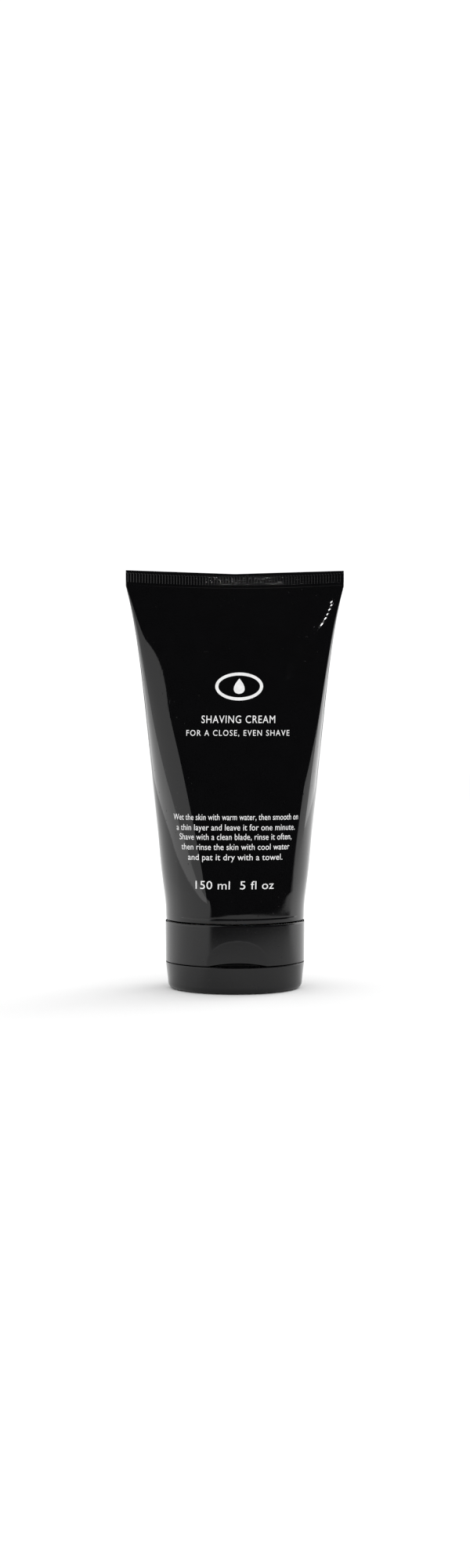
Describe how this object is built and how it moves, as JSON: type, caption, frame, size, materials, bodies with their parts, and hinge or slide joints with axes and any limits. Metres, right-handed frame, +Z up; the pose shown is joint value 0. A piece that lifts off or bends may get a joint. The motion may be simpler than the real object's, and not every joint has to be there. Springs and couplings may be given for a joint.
{
  "type": "shaving cream tube",
  "caption": "Squeeze tube of shaving cream that stands on its flip-top cap, with a flat ribbed seal at the tail and a hinged lid that plugs the spout.",
  "frame": {"origin": "centre of the lid's flat outer face, which the tube stands on", "axes": "+Z up from the cap to the tail seal, +X along the flat seal, -Y towards the printed front and the thumb scoop, +Y towards the lid hinge"},
  "size_m": [0.0786, 0.0502, 0.15],
  "materials": {
    "gloss_black_film": "glossy black polyethylene",
    "head_plastic": "satin natural polyethylene",
    "cream": "soft white cream",
    "cap_plastic": "semi-gloss black polypropylene"
  },
  "bodies": {
    "tube": {"tube_sleeve": "gloss_black_film", "tube_head": "head_plastic", "shaving_cream": "cream", "cap_base": "cap_plastic", "hinge_strap": "cap_plastic", "hinge_film_left": "cap_plastic", "hinge_film_right": "cap_plastic"},
    "lid": {"flip_lid": "cap_plastic"}
  },
  "joints": [
    {"name": "lid_hinge", "type": "hinge", "parent": "tube", "child": "lid", "pos_m": [0, 0.02425, 0.0096], "axis": [1, 0, 0], "range_deg": [0, 170], "deforming": ["hinge_strap", "hinge_film_left", "hinge_film_right"]}
  ]
}
